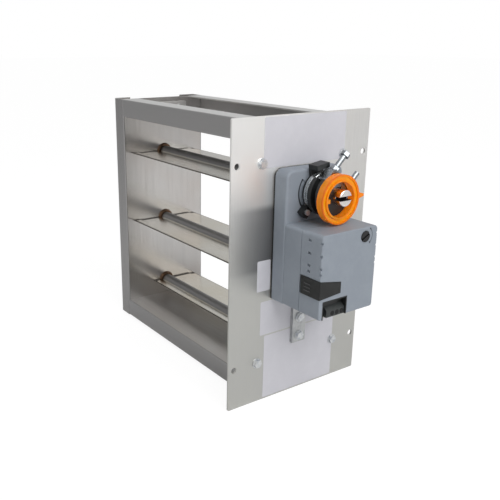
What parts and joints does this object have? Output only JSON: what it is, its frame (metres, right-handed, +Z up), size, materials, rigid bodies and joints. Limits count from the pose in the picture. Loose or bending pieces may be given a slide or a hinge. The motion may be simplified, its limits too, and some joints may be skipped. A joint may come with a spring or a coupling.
{
  "type": "volume control damper",
  "caption": "Square volume control damper: lipped channel frame, parallel blades on through shafts with a crank linkage, turned by an electric actuator clamped to the top spindle.",
  "frame": {"origin": "centre of the duct opening, half-way through the frame's depth", "axes": "+X along the shafts towards the actuator, +Y along the air flow towards the rear face, +Z up"},
  "size_m": [0.3679, 0.182, 0.3024],
  "materials": {
    "galvanised_sheet": "satin",
    "plate_sheet": "matte",
    "blade_sheet": "polished",
    "plated_steel": "satin",
    "bush_bronze": "satin",
    "zinc_casting": "satin",
    "housing_grey": "fine texture",
    "black_plastic": "satin",
    "orange_plastic": "translucent",
    "gear_plastic": "smooth",
    "board_green": "smooth"
  },
  "bodies": {
    "frame": {"left_channel": "galvanised_sheet", "right_channel": "galvanised_sheet", "top_channel": "galvanised_sheet", "bottom_channel": "galvanised_sheet", "corner_rivets": "plated_steel", "left_bushes": "bush_bronze", "right_bushes": "bush_bronze", "bush_clips": "plated_steel", "actuator_plate": "plate_sheet", "plate_bush": "bush_bronze", "plate_screws": "plated_steel", "back_plate": "black_plastic", "gear_housing": "housing_grey", "motor_housing": "housing_grey", "front_cover": "housing_grey", "terminal_block": "black_plastic", "holder_strap": "plated_steel", "holder_screws": "plated_steel", "end_stop": "black_plastic", "end_stop_screw": "plated_steel", "idler_axle": "plated_steel", "drive_motor": "plated_steel", "circuit_board": "board_green"},
    "top_blade_set": {"top_blade": "blade_sheet", "top_shaft": "plated_steel", "top_blade_straps": "plated_steel", "top_shaft_clip": "plated_steel", "top_crank": "plated_steel", "top_crank_screw": "plated_steel", "top_crank_pin": "plated_steel", "drive_sleeve": "gear_plastic", "stop_cam": "black_plastic", "clamp_disc": "zinc_casting", "clamp_body": "black_plastic", "clamp_jaw": "zinc_casting", "u_bolt": "plated_steel", "clamp_nuts": "plated_steel", "indicator_ring": "orange_plastic"},
    "middle_blade_set": {"middle_blade": "blade_sheet", "middle_shaft": "plated_steel", "middle_blade_straps": "plated_steel", "middle_shaft_clip": "plated_steel", "middle_crank": "plated_steel", "middle_crank_screw": "plated_steel", "middle_crank_pin": "plated_steel"},
    "bottom_blade_set": {"bottom_blade": "blade_sheet", "bottom_shaft": "plated_steel", "bottom_blade_straps": "plated_steel", "bottom_shaft_clip": "plated_steel", "bottom_crank": "plated_steel", "bottom_crank_screw": "plated_steel", "bottom_crank_pin": "plated_steel"},
    "tie_bar": {"tie_bar": "plated_steel"},
    "idler_gear": {"idler_gear": "gear_plastic"},
    "motor_pinion": {"motor_pinion": "plated_steel"},
    "direction_knob": {"direction_knob": "housing_grey"},
    "release_button": {"release_button": "black_plastic"}
  },
  "joints": [
    {"name": "top_blade_turn", "type": "hinge", "parent": "frame", "child": "top_blade_set", "pos_m": [0, 0, 0.0765], "axis": [1, 0, 0], "range_deg": [0, 90]},
    {"name": "middle_blade_turn", "type": "hinge", "parent": "frame", "child": "middle_blade_set", "pos_m": [0, 0, -0.0145], "axis": [1, 0, 0], "range_deg": [0, 90]},
    {"name": "bottom_blade_turn", "type": "hinge", "parent": "frame", "child": "bottom_blade_set", "pos_m": [0, 0, -0.1055], "axis": [1, 0, 0], "range_deg": [0, 90]},
    {"name": "tie_bar_swing", "type": "hinge", "parent": "top_blade_set", "child": "tie_bar", "pos_m": [0.1395, -0.01838, 0.05811], "axis": [1, 0, 0], "range_deg": [-90, 0]},
    {"name": "idler_turn", "type": "hinge", "parent": "frame", "child": "idler_gear", "pos_m": [0.16, 0, 0.039], "axis": [1, 0, 0], "range_deg": [-360, 0]},
    {"name": "motor_turn", "type": "hinge", "parent": "frame", "child": "motor_pinion", "pos_m": [0.17, 0, 0.014], "axis": [1, 0, 0], "range_deg": [0, 1440]},
    {"name": "knob_turn", "type": "hinge", "parent": "frame", "child": "direction_knob", "pos_m": [0.22, 0.0182, 0.0391], "axis": [1, 0, 0], "range_deg": [0, 90]},
    {"name": "button_press", "type": "slide", "parent": "frame", "child": "release_button", "axis": [-1, 0, 0], "range_m": [0, 0.002], "stiffness_N_per_m": 200}
  ],
  "couplings": [
    {"joint": "middle_blade_turn", "follows": "top_blade_turn", "ratio": 1},
    {"joint": "bottom_blade_turn", "follows": "top_blade_turn", "ratio": 1},
    {"joint": "tie_bar_swing", "follows": "top_blade_turn", "ratio": -1},
    {"joint": "idler_turn", "follows": "top_blade_turn", "ratio": -4},
    {"joint": "motor_turn", "follows": "top_blade_turn", "ratio": 16}
  ]
}
